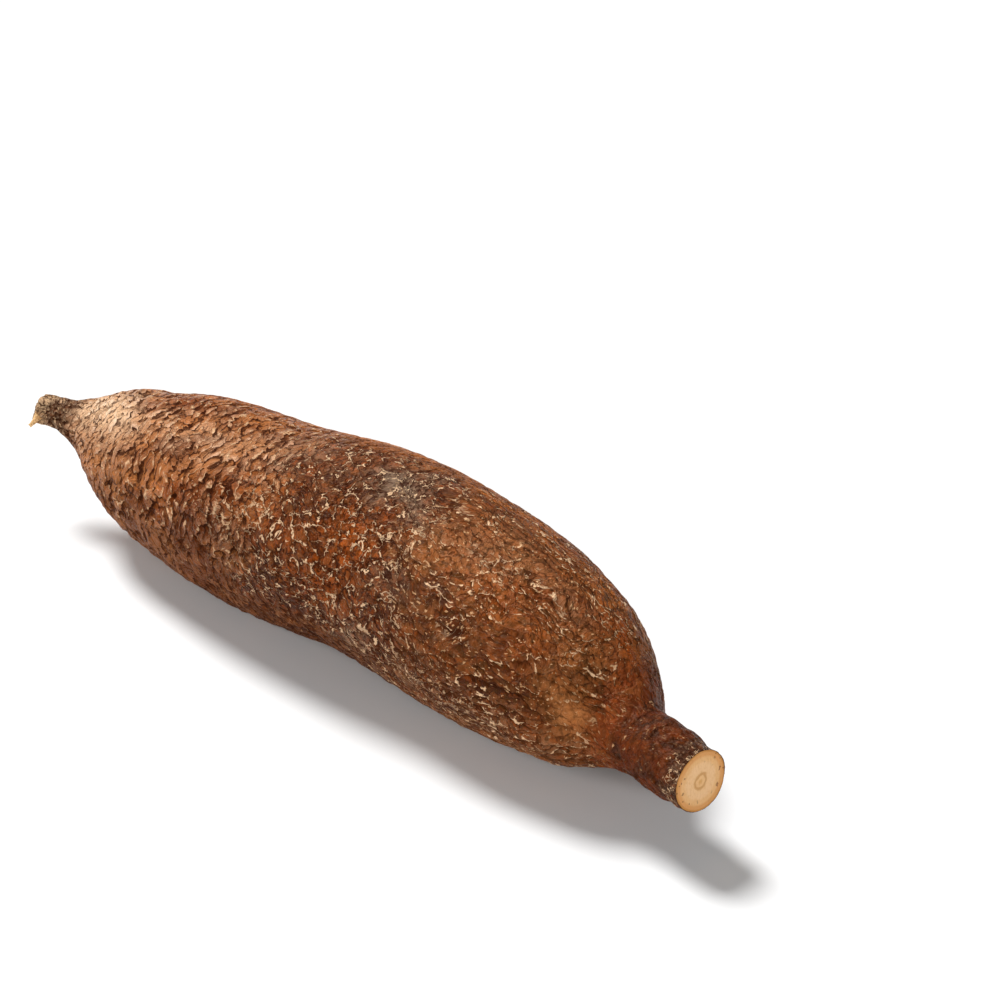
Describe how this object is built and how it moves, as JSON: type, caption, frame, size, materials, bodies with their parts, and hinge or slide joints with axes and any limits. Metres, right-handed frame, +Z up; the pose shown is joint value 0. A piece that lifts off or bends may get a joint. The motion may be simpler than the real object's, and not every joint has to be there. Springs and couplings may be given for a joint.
{
  "type": "cassava root",
  "caption": "Whole cassava root lying on its side: a stout spindle in rough flaky brown bark, with a thin broken tail and a short neck sawn off across.",
  "frame": {"origin": "middle of the bounding box, on the surface that the root lies on", "axes": "+X along the root from the broken tail to the sawn stem end, +Z up from the surface it lies on, +Y towards the outside of its gentle bow"},
  "size_m": [0.2856, 0.0666, 0.0668],
  "materials": {
    "bark": "rough flaky bark with a dull waxy sheen; the sawn stem end is pale tan wood"
  },
  "bodies": {
    "root": {"cassava_root": "bark"}
  },
  "joints": []
}
